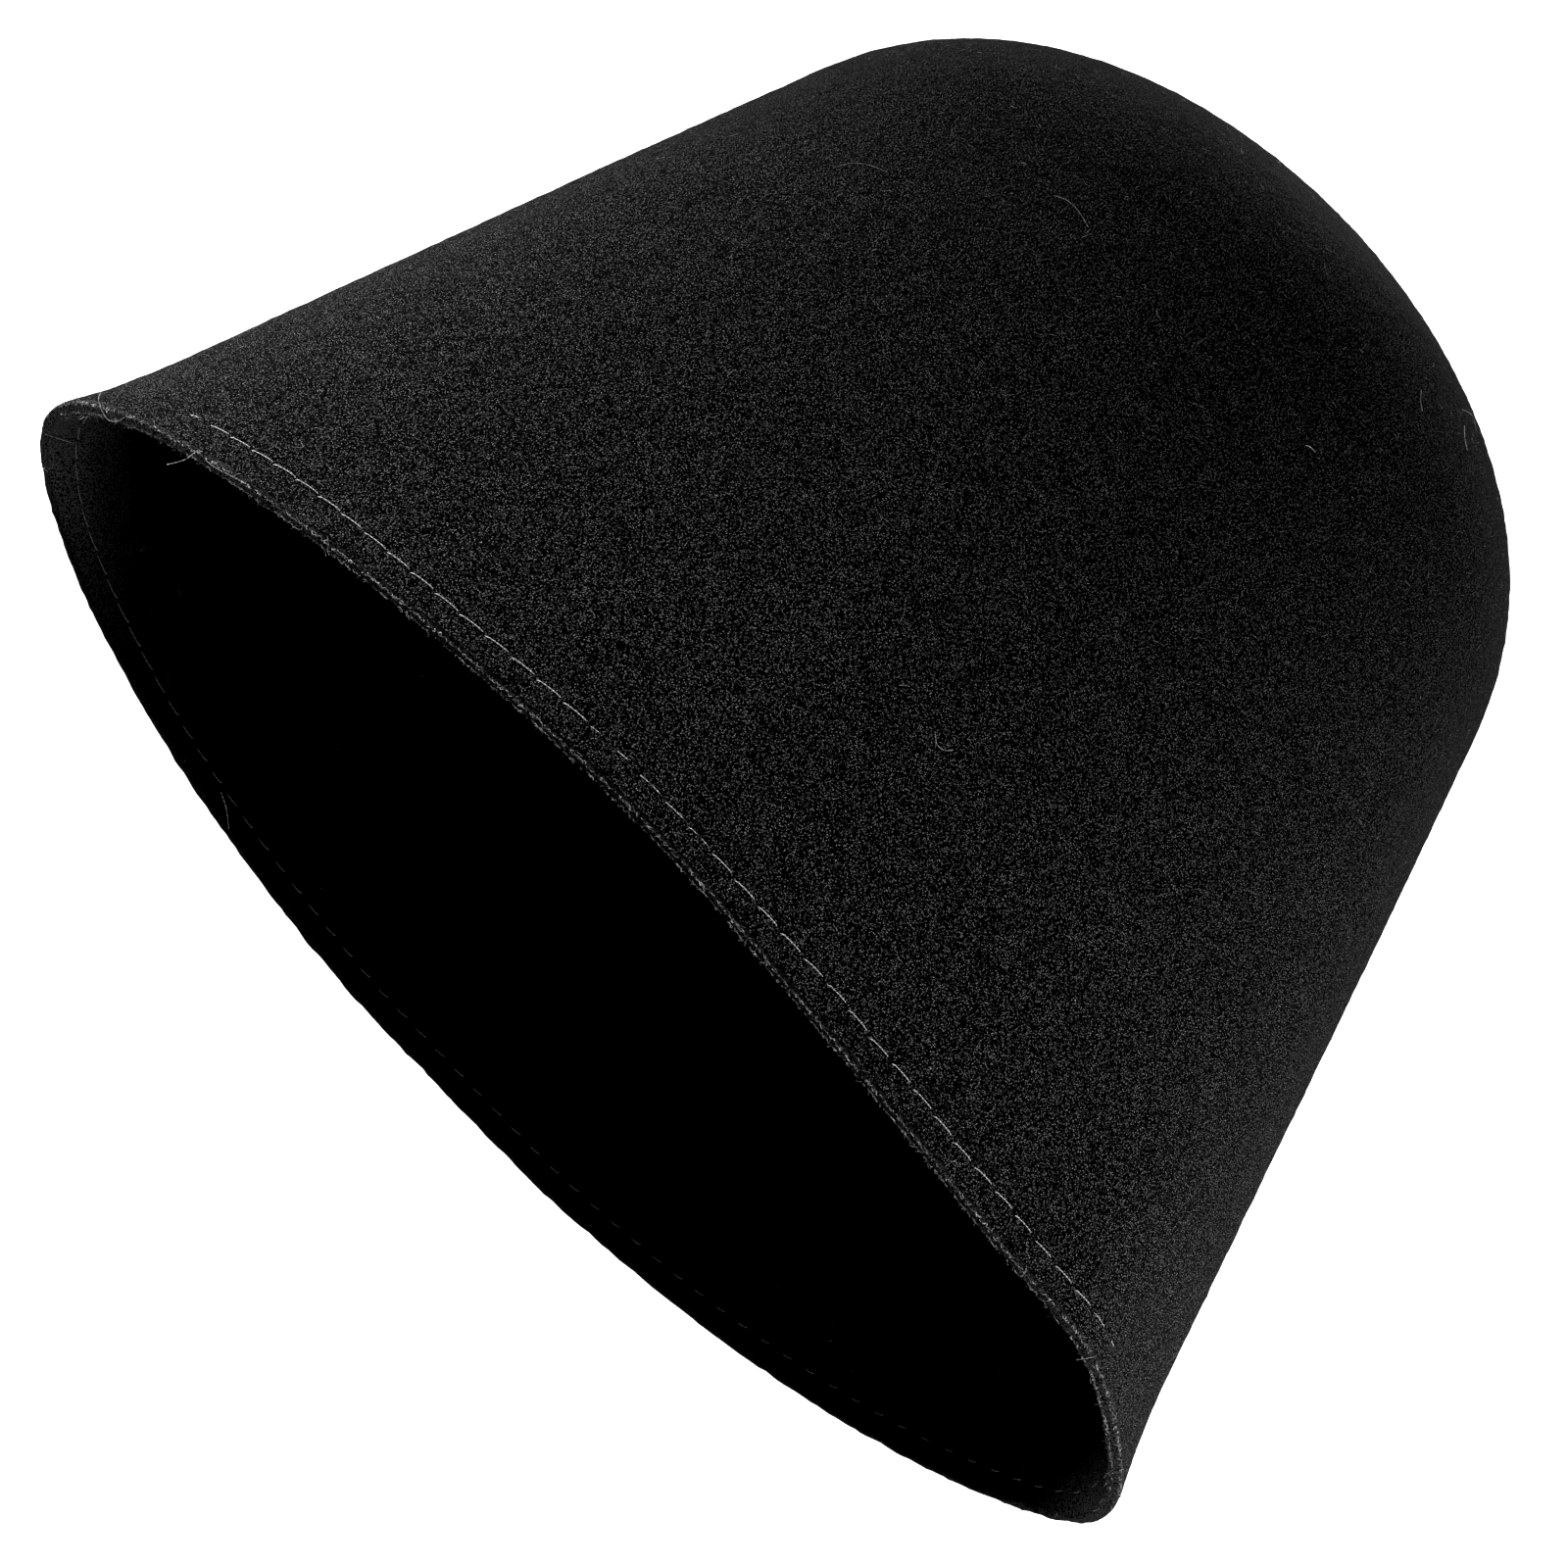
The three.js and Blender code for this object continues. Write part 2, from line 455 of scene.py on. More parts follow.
class BellSurface:
    """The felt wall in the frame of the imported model, in metres."""

    def __init__(self, shape: BellShape, box: tuple[Vector, Vector]) -> None:
        """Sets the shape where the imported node's box is, given by its lowest and highest corner."""
        self.shape = shape
        top = shape.outer(shape.height, 0.0)
        self.shift = np.array([0.0, box[1].y / MILLI - top[1], 0.0])

    def normal(self, level: Array, turn: Array) -> Array:
        """Unit normals of the outer face."""
        return self.shape.outward(level, turn)

    def point(self, level: Array, turn: Array, depth: Array | float = 0.0) -> Array:
        """Points in the felt wall in metres, from levels, turns and depths under the outer face."""
        depths = np.asarray(depth, float)[..., None]
        outer = self.shape.outer(level, turn)
        return (outer - depths * self.normal(level, turn) + self.shift) * MILLI


def put_in_scene(name: str, data: bpy.types.ID) -> Thing:
    """Makes an object of a mesh, a light or a camera at the origin."""
    made = bpy.data.objects.new(name, data)
    bpy.context.scene.collection.objects.link(made)
    return made


def mesh_object(name: str, points: Array, faces: list[tuple[int, ...]]) -> Thing:
    """Makes a smooth-shaded mesh object at the origin.

    Args:
        name: Name of the object and its mesh.
        points: Its vertices in metres.
        faces: Its faces as indices, anticlockwise from outside.

    Returns:
        The new object, in the scene.
    """
    mesh = bpy.data.meshes.new(name)
    mesh.from_pydata(points.tolist(), [], faces)
    mesh.shade_smooth()
    mesh.update()
    return put_in_scene(name, mesh)


def add_attribute(mesh: Mesh, name: str, values: Array) -> None:
    """Gives a mesh a number or a vector at each vertex."""
    is_vector = values.ndim > 1
    layer = mesh.attributes.new(name, "FLOAT_VECTOR" if is_vector else "FLOAT", "POINT")
    layer.data.foreach_set("vector" if is_vector else "value", values.astype(np.float32).ravel())


def line_object(
    name: str, points: Array, edges: list[tuple[int, int]], marks: dict[str, Array]
) -> Thing:
    """Makes the lines that a geometry tree starts from.

    Args:
        name: Name of the object and its mesh.
        points: Its vertices in metres.
        edges: Its edges as indices.
        marks: What each vertex carries, by name.

    Returns:
        The new object, in the scene.
    """
    mesh = bpy.data.meshes.new(name)
    mesh.from_pydata(points.tolist(), edges, [])
    for key, values in marks.items():
        add_attribute(mesh, key, values)
    return put_in_scene(name, mesh)


def grow(host: Thing, tree: Tree, values: dict, name: str) -> Thing:
    """Runs a geometry node tree on an object and keeps the result as a plain mesh.

    Args:
        host: The object that the tree starts from. It is removed.
        tree: The geometry node tree.
        values: Values for the tree's inputs, by name.
        name: Name of the result.

    Returns:
        The new object at the origin.
    """
    modifier = host.modifiers.new(name, "NODES")
    modifier.node_group = tree
    for item in tree.interface.items_tree:
        if item.item_type == "SOCKET" and item.in_out == "INPUT" and item.name in values:
            modifier[item.identifier] = values[item.name]
    host.update_tag()
    bpy.context.view_layer.update()
    depsgraph = bpy.context.evaluated_depsgraph_get()
    evaluated = host.evaluated_get(depsgraph)
    mesh = bpy.data.meshes.new_from_object(evaluated, preserve_all_data_layers=True, depsgraph=depsgraph)
    mesh.name = name
    host.modifiers.remove(modifier)
    bpy.data.objects.remove(host)
    return put_in_scene(name, mesh)


def hand_over(piece: Thing, slot: Slot) -> None:
    """Lets a finished piece ride on the hat, and reports its triangles and the name of a material slot of the
    record.
    """
    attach(piece, BODY)
    triangles = sum(len(face.vertices) - 2 for face in piece.data.polygons)
    LOG.info("%s: %d triangles, slot %s", piece.name, triangles, slot.value)


def start_material(name: str) -> tuple[Material, Graph, Node]:
    """Makes a material, and gives it back with its graph and its surface shader, joined to the output."""
    material = bpy.data.materials.new(name)
    material.use_nodes = True
    material.node_tree.nodes.clear()
    graph = Graph(material.node_tree)
    shader = graph.add("ShaderNodeBsdfPrincipled")
    graph.add("ShaderNodeOutputMaterial", {"Surface": shader.outputs["BSDF"]})
    return material, graph, shader


class FleckGroup:
    """Shader group for the salt of lit fibre bits on dark wool, shared by the felt and the loose fibres.

    Each fleck is a bent cell with a lit middle and a brightness of its own, under a wide soft mottle.
    """

    PLAN = GroupPlan(
        "wool_flecks",
        TreeKind.SHADER,
        {
            SocketKind.VECTOR: ("Vector",),
            SocketKind.FLOAT: ("Fleck Size", "Sharpness", "Mottle"),
            SocketKind.COLOUR: ("Dark", "Light"),
        },
        {SocketKind.COLOUR: ("Colour",), SocketKind.FLOAT: ("Height",)},
    )
    BEND_SPREAD = 3.5
    BEND_DETAIL = 0.0
    BEND = 1.5
    SPOT_FADE = 1.3
    TONE_POWER = 0.5
    MOTTLE_SPREAD = 14.0
    MOTTLE_DETAIL = 3.0
    MOTTLE_RANGE = (0.3, 0.7)

    def build(self) -> Tree:
        """Builds the group once, for every material that uses it."""
        graph, given, made = self.PLAN.start()
        calc, place, size = graph.math, given["Vector"], given["Fleck Size"]
        scale = calc("DIVIDE", 1.0, size)
        bend_scale = calc("DIVIDE", scale, self.BEND_SPREAD)
        crooked = graph.bent(place, bend_scale, self.BEND_DETAIL, calc("MULTIPLY", size, self.BEND))
        cells = graph.add("ShaderNodeTexVoronoi", {"Vector": crooked, "Scale": scale}).outputs
        tone = graph.take("ShaderNodeSeparateColor", "Red", {"Color": cells["Color"]})
        rest = calc("SUBTRACT", 1.0, calc("MULTIPLY", cells["Distance"], self.SPOT_FADE))
        spot = calc("POWER", calc("MAXIMUM", rest, 0.0), given["Sharpness"])
        lit = calc("MULTIPLY", calc("POWER", tone, self.TONE_POWER), spot)
        wide = graph.waves("Fac", place, calc("DIVIDE", scale, self.MOTTLE_SPREAD), self.MOTTLE_DETAIL)
        span = {
            "Value": wide,
            "From Min": self.MOTTLE_RANGE[0],
            "From Max": self.MOTTLE_RANGE[1],
            "To Min": calc("SUBTRACT", 1.0, given["Mottle"]),
            "To Max": calc("ADD", 1.0, given["Mottle"]),
        }
        share = calc("MULTIPLY", lit, graph.take("ShaderNodeMapRange", "Result", span))
        colour = graph.mix(share, given["Dark"], given["Light"])
        graph.feed(made, {"Colour": colour, "Height": calc("SUBTRACT", 1.0, cells["Distance"])})
        return graph.tree

    @staticmethod
    def use(graph: Graph, flecks: Tree, finish: "WoolFinish", light: Socket) -> Node:
        """Adds the group to a material, with a finish's values and the colour of its lit flecks."""
        inputs = {
            "Vector": graph.take("ShaderNodeTexCoord", "Object"),
            "Fleck Size": finish.fleck_size,
            "Sharpness": finish.sharpness,
            "Mottle": finish.mottle,
            "Dark": finish.dark,
            "Light": light,
        }
        return graph.add("ShaderNodeGroup", inputs, node_tree=flecks)


@dataclass(frozen=True)
class FeltFinish:
    """Black pressed wool: a salt of lit fibre flecks, a soft mottle and a nap that lights up at a glance."""

    name: str = "black_felt"
    dark: Colour = grey(0.0016)
    light: Colour = WHITE
    fleck_size: float = 0.00035
    sharpness: float = 6.0
    mottle: float = 0.15
    roughness: float = 1.0
    specular: float = 0.0
    sheen: float = 0.02
    sheen_roughness: float = 0.3
    bump_height: float = 0.00032
    bump_strength: float = 0.6
    pebble_size: float = 0.0017
    pebble_detail: float = 2.0
    pebble_share: float = 2.0

    def material(self, flecks: Tree) -> Material:
        """Makes the felt's material with the shared fleck group."""
        material, graph, shader = start_material(self.name)
        # The stored nap sets how light the flecks are, with the painted light and shade that the wall carries.
        light = graph.mix(graph.stored(FeltBell.NAP_AND_PAINTED_LIGHT), self.dark, self.light)
        wool = FleckGroup.use(graph, flecks, self, light).outputs
        place = graph.take("ShaderNodeTexCoord", "Object")
        pebble = graph.waves("Fac", place, 1.0 / self.pebble_size, self.pebble_detail)
        height = graph.math("ADD", graph.math("MULTIPLY", pebble, self.pebble_share), wool["Height"])
        relief = {"Height": height, "Distance": self.bump_height, "Strength": self.bump_strength}
        inputs = {
            "Base Color": wool["Colour"],
            "Normal": graph.take("ShaderNodeBump", "Normal", relief),
            "Roughness": self.roughness,
            "Specular IOR Level": self.specular,
            "Sheen Weight": self.sheen,
            "Sheen Roughness": self.sheen_roughness,
        }
        graph.feed(shader, inputs)
        return material


@dataclass(frozen=True)
class ThreadFinish:
    """Grey twisted sewing thread: two plies that turn round each other."""

    name: str = "grey_thread"
    dark: Colour = grey(0.12)
    light: Colour = grey(0.55)
    ply_length: float = 0.0007
    plies: float = 2.0
    roughness: float = 0.6
    sheen: float = 0.1
    bump_height: float = 0.00004

    def material(self) -> Material:
        """Makes the thread's material, which reads where each point lies along its stitch."""
        material, graph, shader = start_material(self.name)
        lay = graph.stored(StitchRow.LAY, "Vector")
        parts = graph.add("ShaderNodeSeparateXYZ", {"Vector": lay}).outputs
        around = graph.math("ARCTAN2", parts["Z"], parts["Y"])
        along = graph.math("MULTIPLY", parts["X"], FULL_TURN / self.ply_length)
        wave = graph.math("SINE", graph.math("MULTIPLY_ADD", around, self.plies, along))
        ply = graph.math("MULTIPLY_ADD", wave, 0.5, 0.5)
        relief = {"Height": ply, "Distance": self.bump_height}
        inputs = {
            "Base Color": graph.mix(ply, self.dark, self.light),
            "Normal": graph.take("ShaderNodeBump", "Normal", relief),
            "Roughness": self.roughness,
            "Sheen Weight": self.sheen,
        }
        graph.feed(shader, inputs)
        return material


@dataclass(frozen=True)
class FibreFinish:
    """Loose wool fibres, most of them dark and a few light, each with a flecked length."""

    name: str = "loose_fibre"
    dark: Colour = grey(0.004)
    light: Colour = grey(0.3)
    tone_power: float = 3.0
    fleck_size: float = 0.0006
    sharpness: float = 0.3
    mottle: float = 0.2
    roughness: float = 0.7
    specular: float = 0.3

    def material(self, flecks: Tree) -> Material:
        """Makes the fibres' material with the shared fleck group."""
        material, graph, shader = start_material(self.name)
        share = graph.math("POWER", graph.stored(FibreTree.TONE), self.tone_power)
        light = graph.mix(share, self.dark, self.light)
        inputs = {
            "Base Color": FleckGroup.use(graph, flecks, self, light).outputs["Colour"],
            "Roughness": self.roughness,
            "Specular IOR Level": self.specular,
        }
        graph.feed(shader, inputs)
        return material


WoolFinish = FeltFinish | FibreFinish


@dataclass(frozen=True)
class PaintedLightTip:
    """Painted light on the inner face at a side tip of the opening, where light reaches into the hollow.

    The middle and the width are turns in radians, and the reach is in millimetres of level.
    """

    middle: float
    width: float
    reach: float
    nap: float

    def share(self, level: Array, turn: Array) -> Array:
        """How much painted light the inner face gets at each level, down, and turn, across."""
        away = short_way(turn, self.middle)[None, :] / self.width
        return self.nap * hump(away) * hump(level[:, None] / self.reach)


@dataclass(frozen=True)
class Rings:
    """Level and depth of each ring of the wall mesh, and whether it is on the outer face or the cut edge."""

    level: Array
    depth: Array
    is_outer: Array
    is_edge: Array


@dataclass
class FeltBell:
    """The felt wall itself: outer face, raw cut edge and inner face in one closed mesh."""

    surface: BellSurface
    line: StitchLine
    name: str = "felt_bell"
    around: int = 480
    body_rows: int = 78
    crown_rows: int = 50
    inner_rows: int = 16
    inner_crown_rows: int = 12
    trim: float = 0.8
    slip_reach: float = 4.0
    tip_hang: float = 1.3
    tip_width: float = 0.3
    tip_reach: float = 14.0
    thinned: float = 0.7
    thinned_over: float = 4.0
    thinned_power: float = 6.0
    outer_round: float = 0.8
    inner_round: float = 0.35
    edge_steps: int = 4
    edge_middle: tuple[float, ...] = (0.75, 0.6, 0.45)
    edge_wear: float = 0.3
    edge_wear_size: float = 3.2
    arris_reach: float = 0.22
    arris_depth: float = 0.35
    pebble: float = 0.2
    pebble_size: float = 2.6
    grit: float = 0.5
    grit_size: float = 0.36
    near_edge: tuple[float, ...] = (1.7, 2.1, 2.7, 3.6, 4.5, 5.1, 5.7, 6.2, 6.7, 7.2, 7.7, 8.2, 8.8, 9.8)
    taper_start: float = 11.2
    outer_nap: float = 0.68
    # Painted shade: the outer nap at the crown, much darker than at the rim.
    crown_nap_painted_shade: float = 0.17
    painted_crown_shade_level: float = 220.0
    # Painted shade on the cut edge, and painted light on it at the side tips of the upper wall.
    cut_nap_painted_shade: float = 0.015
    cut_tip_painted_light: float = 0.1
    cut_tip_light_power: float = 3.0
    # Painted shade: the inner face's nap is almost black, as the hollow lies in shade.
    inner_nap_painted_shade: float = 0.001
    # Painted highlight: the nap along the arrises of the cut edge on the upper wall.
    arris_nap_painted_highlight: float = 0.1
    # Painted light on the inner face at both side tips of the opening.
    painted_light_tips: tuple[PaintedLightTip, ...] = (PaintedLightTip(math.pi, 0.42, 12.0, 0.095), PaintedLightTip(0.0, 0.18, 9.0, 0.09))
    tip_front: float = 0.5
    back_slope: float = 1.2
    inner_coat: float = 0.3
    inner_coat_fades_at: float = 60.0
    bare_below: float = 1.2
    COAT = "coat"
    ARRIS = "arris"
    # The nap with its painted light and shade.
    NAP_AND_PAINTED_LIGHT = "nap"
    ALONG = "along"

    def crown_levels(self, rows: int) -> Array:
        """Levels from the shoulder to just below the top, evenly spread over the rounding crown."""
        shape = self.surface.shape
        swing = np.sin(np.arange(rows) / rows * math.pi / 2.0) ** (2.0 / shape.crown_depth_power)
        return shape.shoulder_level + (shape.height - shape.shoulder_level) * swing

    def rings(self) -> Rings:
        """Lists the rings of the mesh, from the inner top round the cut edge to the outer top."""
        wall, shoulder = self.surface.shape.wall, self.surface.shape.shoulder_level
        taper = np.linspace(self.taper_start, shoulder, self.body_rows, endpoint=False)
        outer = np.concatenate([self.near_edge, taper, self.crown_levels(self.crown_rows)])
        inner_taper = np.linspace(self.near_edge[-1], shoulder, self.inner_rows, endpoint=False)
        inner = np.concatenate([self.near_edge[:-1], inner_taper, self.crown_levels(self.inner_crown_rows)])
        angles = np.linspace(0.0, math.pi / 2.0, self.edge_steps + 1)
        inner_depth = wall - self.inner_round * (1.0 - np.cos(angles))
        inner_level = self.trim + self.inner_round * (1.0 - np.sin(angles))
        outer_depth = self.outer_round * (1.0 - np.cos(angles[::-1]))
        outer_level = self.trim + self.outer_round * (1.0 - np.sin(angles[::-1]))
        middle_depth = np.array(self.edge_middle) * wall
        middle_level = np.full(len(middle_depth), self.trim)
        edge_depth = np.concatenate([inner_depth, middle_depth, outer_depth])
        level = np.concatenate([inner[::-1], inner_level, middle_level, outer_level, outer])
        depth = np.concatenate([np.full(len(inner), wall), edge_depth, np.zeros(len(outer))])
        ring = np.arange(len(level))
        is_outer = ring >= len(inner) + len(edge_depth)
        return Rings(level, depth, is_outer, (ring >= len(inner)) & ~is_outer)

    def build(self) -> Thing:
        """Builds the closed mesh, with what the coats and the finish read at each vertex."""
        shape, shift = self.surface.shape, self.surface.shift
        rings = self.rings()
        turns = np.arange(self.around) * FULL_TURN / self.around
        level, depth, turn = rings.level[:, None], rings.depth[:, None], turns[None, :]
        is_outer, is_edge = rings.is_outer[:, None], rings.is_edge[:, None]
        normal = self.surface.normal(np.maximum(level, self.outer_round), turn)
        outer = (shape.outer(level, turn) + shift) * MILLI
        thinned = self.thinned * (1.0 - np.abs(np.cos(turn)) ** self.thinned_power)
        pressed = np.exp(-level / self.thinned_over) * thinned / shape.wall
        points = outer - (depth * (1.0 - pressed))[..., None] * MILLI * normal
        groove = self.line.groove(level, turn) * (np.where(is_outer, 1.0, -1.0) * ~is_edge)
        points = points - groove[..., None] * MILLI * normal
        bumps = self.gritty(points / (self.pebble_size * MILLI)) * self.pebble
        points = points + (bumps * MILLI * is_outer)[..., None] * normal
        worn = self.gritty(points / (self.edge_wear_size * MILLI)) * self.edge_wear * MILLI * is_edge
        points = self.slipped(points + worn[..., None] * shape.axis, level, turn)
        points[..., 2] = np.maximum(points[..., 2], 0.0)
        top = (shape.outer(shape.height, 0.0) + shift) * MILLI
        poles = np.stack([top - shape.axis * shape.wall * MILLI, top])
        every = np.concatenate([points.reshape(-1, 3), poles])
        made = mesh_object(self.name, every, self.faces(len(rings.level)))
        self.mark(made.data, points, rings, turns)
        inner_faces = np.repeat(~rings.is_outer[1:], self.around)
        finish = np.concatenate([np.tile([1, 0], self.around), inner_faces.astype(int)])
        made.data.polygons.foreach_set("material_index", finish)
        return made

    def front(self, turn: Array) -> Array:
        """One on the front wall, nothing on the back wall, and half at the side tips."""
        return np.clip(self.tip_front - self.back_slope * np.sin(turn), 0.0, 1.0)

    def slipped(self, points: Array, level: Array, turn: Array) -> Array:
        """Lets the rim hang a little lower than the trimmed front edge, at the back and at the right tip."""
        back = self.trim * (1.0 - self.front(turn)) * np.exp(-level / self.slip_reach)
        tip = self.tip_hang * hump(short_way(turn) / self.tip_width) * np.exp(-level / self.tip_reach)
        return points - (back + tip)[..., None] * MILLI * self.surface.shape.axis

    def mark(self, mesh: Mesh, points: Array, rings: Rings, turn: Array) -> None:
        """Stores the share of loose fibres and of edge fuzz, the nap with its painted light and shade, and the
        way round the rim.

        Args:
            mesh: The finished wall mesh.
            points: Its ring vertices in metres.
            rings: Its rings.
            turn: Turn of each vertex of a ring round the section.
        """
        shape, level, depth = self.surface.shape, rings.level, rings.depth
        to_face = np.minimum(np.abs(depth - self.arris_depth), shape.wall - depth)
        to_arris = np.hypot(level - self.trim, to_face)
        front = self.front(turn)
        arris = hump(to_arris[:, None] / self.arris_reach) * front[None, :]
        inner_share = self.inner_coat * shape.fade(level, self.inner_coat_fades_at)
        coat = np.where(rings.is_outer, 1.0, np.where(rings.is_edge, 0.0, inner_share))
        # Painted light on the inner face at the side tips.
        lit = sum(tip.share(level, turn) for tip in self.painted_light_tips)
        # The cut edge is dark with painted shade, and lighter at the side tips of the upper wall with painted
        # light.
        cut = self.cut_nap_painted_shade + self.cut_tip_painted_light * np.abs(np.cos(turn)) ** self.cut_tip_light_power * front
        # On the inner face the nap is painted shade, with the painted light of the side tips on it.
        nap = np.where(rings.is_edge[:, None], cut[None, :], self.inner_nap_painted_shade + lit)
        # Painted shade: the outer nap darkens softly from the rim towards the crown.
        settled = self.eased(1.0 - shape.fade(level, self.painted_crown_shade_level))
        outer_nap = self.outer_nap + (self.crown_nap_painted_shade - self.outer_nap) * settled
        nap = np.where(rings.is_outer[:, None], outer_nap[:, None], nap)
        # Painted highlight at the arrises of the upper wall, where the fuzz catches the light.
        nap = nap + (self.arris_nap_painted_highlight - nap) * arris
        lifted = (points[..., 2] > self.bare_below * MILLI).astype(float)
        along = np.roll(points, -1, axis=1) - np.roll(points, 1, axis=1)
        along = along / np.linalg.norm(along, axis=-1, keepdims=True)
        marks = {
            self.COAT: (coat[:, None] * lifted, [0.0, 1.0]),
            self.ARRIS: (arris * lifted, [0.0, 0.0]),
            self.NAP_AND_PAINTED_LIGHT: (nap, [self.inner_nap_painted_shade, self.crown_nap_painted_shade]),
            self.ALONG: (along, [[1.0, 0.0, 0.0]] * 2),
        }
        for name, (values, at_poles) in marks.items():
            every = np.concatenate([values.reshape(-1, *values.shape[2:]), at_poles])
            add_attribute(mesh, name, every)

    @staticmethod
    def eased(share: Array) -> Array:
        """Lets a share rise from nothing to one with a soft start and a soft end."""
        return share**2 * (3.0 - 2.0 * share)

    def gritty(self, places: Array) -> Array:
        """Smooth noise with a finer grit on it."""
        return self.field(places) + self.grit * self.field(places / self.grit_size)

    @staticmethod
    def field(places: Array) -> Array:
        """Smooth noise from -1 to 1 at each place, the same in every run."""
        flat = places.reshape(-1, 3)
        return np.array([noise.noise(Vector(p)) for p in flat]).reshape(places.shape[:-1])

    def faces(self, rings: int) -> list[tuple[int, ...]]:
        """Quads between the rings and a fan at each pole, anticlockwise from outside the felt."""
        count = self.around
        pairs = [(place, (place + 1) % count) for place in range(count)]
        last, inner_pole, outer_pole = (rings - 1) * count, rings * count, rings * count + 1
        faces: list[tuple[int, ...]] = []
        for place, after in pairs:
            faces += [(inner_pole, after, place), (last + place, last + after, outer_pole)]
        for low in range(0, last, count):
            high = low + count
            faces += [(low + place, low + after, high + after, high + place) for place, after in pairs]
        return faces

    def dress(self, piece: Thing, finishes: tuple[Material, ...]) -> None:
        """Gives the wall the finishes of its outer and inner face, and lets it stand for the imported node."""
        for finish in finishes:
            piece.data.materials.append(finish)
        hand_over(piece, Slot.FELT)
        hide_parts(NODE)


class StitchTree:
    """Geometry node tree that lays one stitch after another along a closed line on the felt."""

    PLAN = GroupPlan(
        "stitch_line",
        TreeKind.GEOMETRY,
        {
            SocketKind.GEOMETRY: ("Geometry",),
            SocketKind.WHOLE: ("Stitches", "Seed"),
            SocketKind.FLOAT: (
                *("Shown Length", "Thread Radius", "Lift", "Dip", "Slant", "Hook", "Bow", "Sway"),
            ),
            SocketKind.MATERIAL: ("Material",),
        },
    )
    STEPS = 11
    SIDES = 6
    DIP_POWER = 8.0
    HOOK_START = 0.6

    def build(self) -> Tree:
        """Builds the tree once, for both rows of stitches."""
        graph, given, made = self.PLAN.start()
        spaced = graph.steps(graph.curve(given["Geometry"]), "COUNT", given["Stitches"])
        tangent = graph.take("GeometryNodeInputTangent", "Tangent")
        facing = graph.facing(graph.named(StitchRow.OUT, "FLOAT_VECTOR"), tangent)
        turned = graph.spun(facing, (0.0, 0.0, 1.0), graph.either_way(given["Sway"], given["Seed"]))
        down = graph.math("MULTIPLY", graph.named(StitchRow.SUNK), -1.0)
        laid = graph.laid(spaced, self.stitch(graph, given), turned, graph.named(StitchRow.STRETCH), down)
        return graph.finish(graph.solid(laid), given, made)

    def stitch(self, graph: GeometryGraph, given: dict[str, Socket]) -> Socket:
        """Adds one stitch: a slanting, bowed low arch of thread whose ends dive in, one with a hook."""
        calc = graph.math
        steps = graph.steps(graph.line((-1.0, 0.0, 0.0), (1.0, 0.0, 0.0)), "COUNT", self.STEPS)
        share = graph.take("ShaderNodeSeparateXYZ", "X", {"Vector": graph.here()})
        reach = calc("MULTIPLY", share, calc("MULTIPLY", given["Shown Length"], 0.5))
        dive = calc("POWER", calc("ABSOLUTE", share), self.DIP_POWER)
        rise = calc("SUBTRACT", given["Lift"], calc("MULTIPLY", dive, given["Dip"]))
        past = calc("SUBTRACT", calc("MULTIPLY", share, -1.0), self.HOOK_START)
        bend = calc("DIVIDE", calc("MAXIMUM", past, 0.0), 1.0 - self.HOOK_START)
        hook = calc("MULTIPLY", calc("MULTIPLY", bend, bend), given["Hook"])
        slant = calc("SUBTRACT", calc("MULTIPLY", reach, given["Slant"]), hook)
        belly = calc("SUBTRACT", 1.0, calc("MULTIPLY", share, share))
        side = calc("MULTIPLY_ADD", belly, given["Bow"], slant)
        arch = graph.moved(steps, graph.combine(X=reach, Y=side, Z=rise))
        tube = graph.tube(arch, self.SIDES, given["Thread Radius"])
        return graph.keep(tube, StitchRow.LAY, graph.here(), "FLOAT_VECTOR", "POINT")


@dataclass(frozen=True)
class SunkStretch:
    """A stretch of the rim where the felt closes over the stitches.

    The middle and the width are turns in radians, and the depth is in millimetres.
    """

    middle: float
    width: float
    depth: float
    power: float = 2.0


